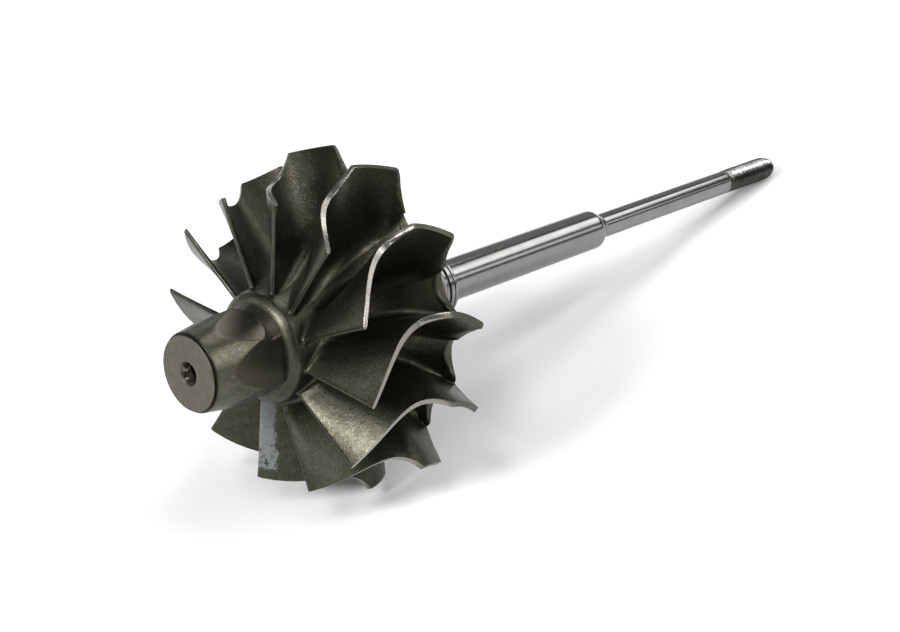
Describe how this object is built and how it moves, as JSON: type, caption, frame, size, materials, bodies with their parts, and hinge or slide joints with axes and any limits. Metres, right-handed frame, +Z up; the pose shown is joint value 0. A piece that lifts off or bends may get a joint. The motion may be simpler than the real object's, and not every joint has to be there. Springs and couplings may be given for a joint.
{
  "type": "turbocharger turbine wheel and shaft",
  "caption": "Radial turbine wheel with twisted blades and a hexagonal nose, welded to a ground shaft that steps down to a threaded end.",
  "frame": {"origin": "middle of the rotor's footprint, on the surface that it lies on", "axes": "+Y from the nose towards the threaded end, +Z up; the shaft's axis slopes down by 12 degrees towards the thread, because the wheel is larger than the shaft"},
  "size_m": [0.0764, 0.2098, 0.0754],
  "materials": {
    "cast_alloy": "investment cast nickel alloy, dark olive grey, slightly rough",
    "machined_alloy": "turned nickel alloy, warm grey",
    "ground_steel": "ground and polished steel",
    "threaded_steel": "rolled thread, dark steel",
    "weld_metal": "weld seam, dull brown grey"
  },
  "bodies": {
    "root": {"nose_hex": "cast_alloy", "nose_collar": "cast_alloy", "hub": "cast_alloy", "back_disc": "cast_alloy", "weld_boss": "cast_alloy", "blade_01": "cast_alloy", "blade_02": "cast_alloy", "blade_03": "cast_alloy", "blade_04": "cast_alloy", "blade_05": "cast_alloy", "blade_06": "cast_alloy", "blade_07": "cast_alloy", "blade_08": "cast_alloy", "blade_09": "cast_alloy", "blade_10": "cast_alloy", "blade_11": "cast_alloy", "blade_12": "cast_alloy", "nose_face_pad": "machined_alloy", "weld_seam": "weld_metal", "seal_boss": "ground_steel", "seal_ring_groove": "ground_steel", "rear_seal_land": "ground_steel", "bearing_journal": "ground_steel", "journal_shoulder": "ground_steel", "stub_shaft": "ground_steel", "thread": "threaded_steel", "thread_tip": "threaded_steel"}
  },
  "joints": []
}
